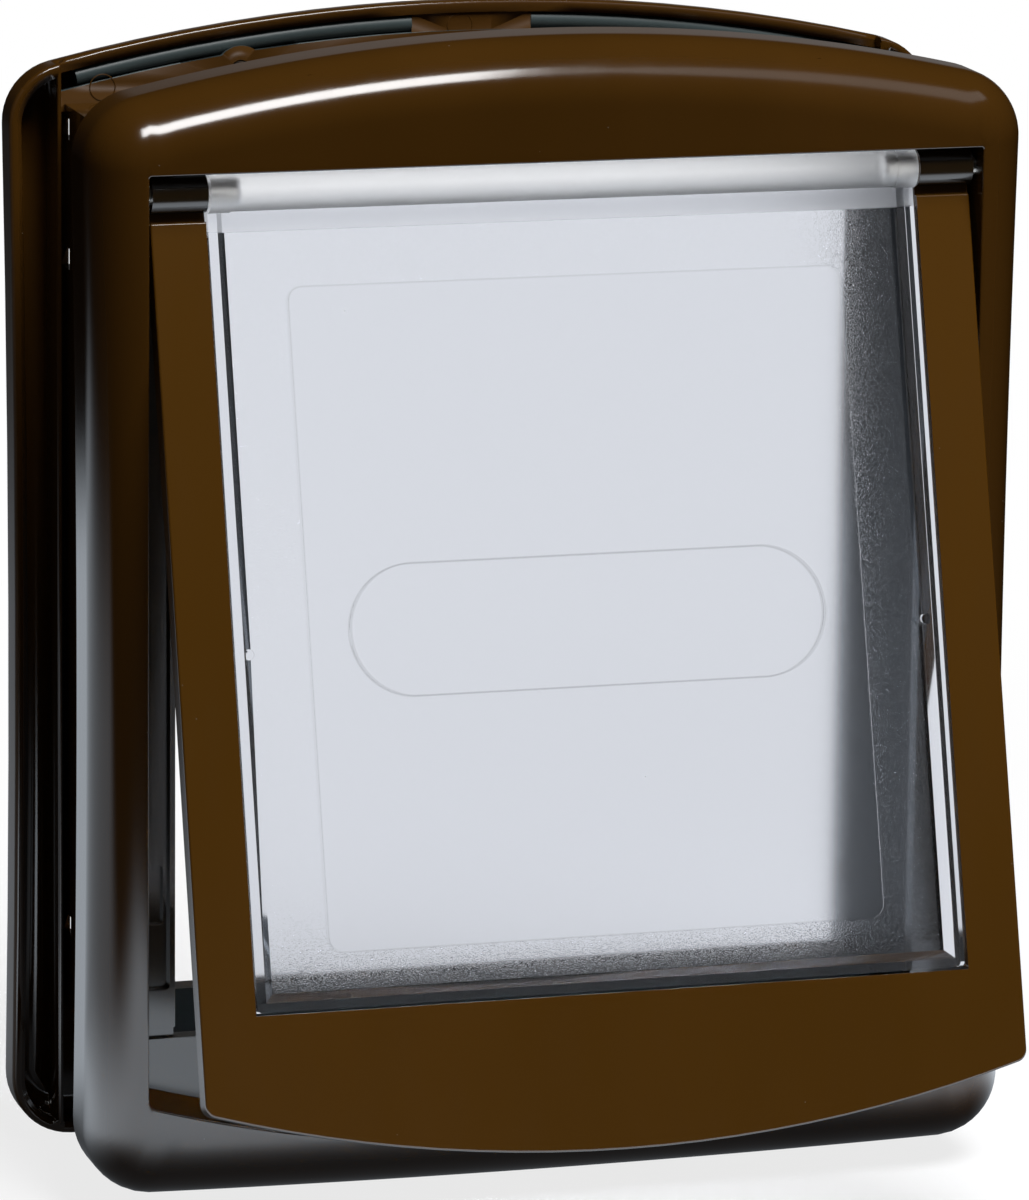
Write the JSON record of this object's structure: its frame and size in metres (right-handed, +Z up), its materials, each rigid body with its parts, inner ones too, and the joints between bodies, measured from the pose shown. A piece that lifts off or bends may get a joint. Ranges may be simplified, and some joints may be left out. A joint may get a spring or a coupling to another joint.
{
  "type": "cat flap",
  "caption": "Two-frame cat flap for a door leaf: arched outer frame, tunnel, rear frame, outward swing panel and an inward clear flap on one hinge line.",
  "frame": {"origin": "on the outer frame's door face, centred across it and level with the middle of the opening's straight sides", "axes": "+X to the right seen from outside, +Y through the door into the house, +Z up"},
  "size_m": [0.2006, 0.1292, 0.2424],
  "materials": {
    "brown_plastic": "glossy injection-moulded dark brown plastic",
    "clear_plastic": "clear moulded plastic, stippled round its edge",
    "plated_steel": "bright zinc plate"
  },
  "bodies": {
    "frame": {"front_frame": "brown_plastic", "tunnel_liner": "brown_plastic", "rear_frame": "brown_plastic", "hinge_pin_left": "plated_steel", "hinge_pin_right": "plated_steel", "fixing_screws": "plated_steel", "screw_caps": "brown_plastic", "liner_screws": "plated_steel"},
    "panel": {"swing_panel": "brown_plastic"},
    "flap": {"clear_flap": "clear_plastic"}
  },
  "joints": [
    {"name": "panel_hinge", "type": "hinge", "parent": "frame", "child": "panel", "pos_m": [0, -0.0145, 0.091], "axis": [-1, 0, 0], "range_deg": [-15.5, 64.5]},
    {"name": "flap_hinge", "type": "hinge", "parent": "panel", "child": "flap", "pos_m": [0, -0.0145, 0.091], "axis": [1, 0, 0], "range_deg": [0, 80]}
  ]
}
